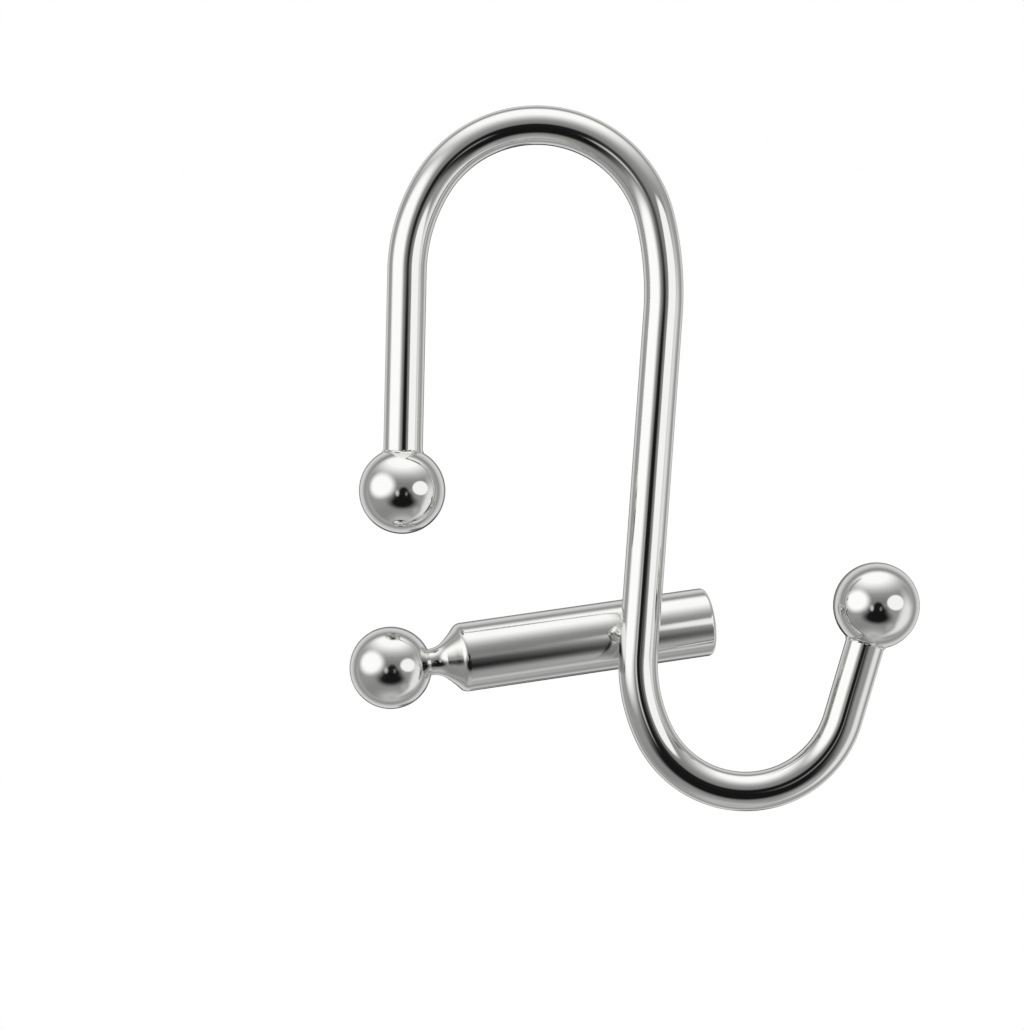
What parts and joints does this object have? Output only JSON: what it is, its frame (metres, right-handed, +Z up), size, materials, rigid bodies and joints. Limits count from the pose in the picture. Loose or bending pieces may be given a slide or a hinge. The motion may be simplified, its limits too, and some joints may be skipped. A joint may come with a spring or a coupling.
{
  "type": "shower curtain hook",
  "caption": "Polished chrome curtain and liner hook: an S-bent round wire with ball ends hangs on the rail, and a turned peg with a ball knob is welded behind its long leg.",
  "frame": {"origin": "rail seat: the point under the crown of the wire that rests on top of the rail", "axes": "+Z up, +X from the rail leg towards the curtain's hook, +Y towards the side of the wire that the peg is welded to"},
  "size_m": [0.0665, 0.0171, 0.0824],
  "materials": {
    "polished_chrome": "polished chrome plate on bent steel wire and turned steel balls",
    "satin_chrome": "chrome plate on a turned steel bar, with faint marks along it"
  },
  "bodies": {
    "root": {"hook_wire": "polished_chrome", "rail_end_ball": "polished_chrome", "curtain_end_ball": "polished_chrome", "liner_peg": "satin_chrome"}
  },
  "joints": []
}
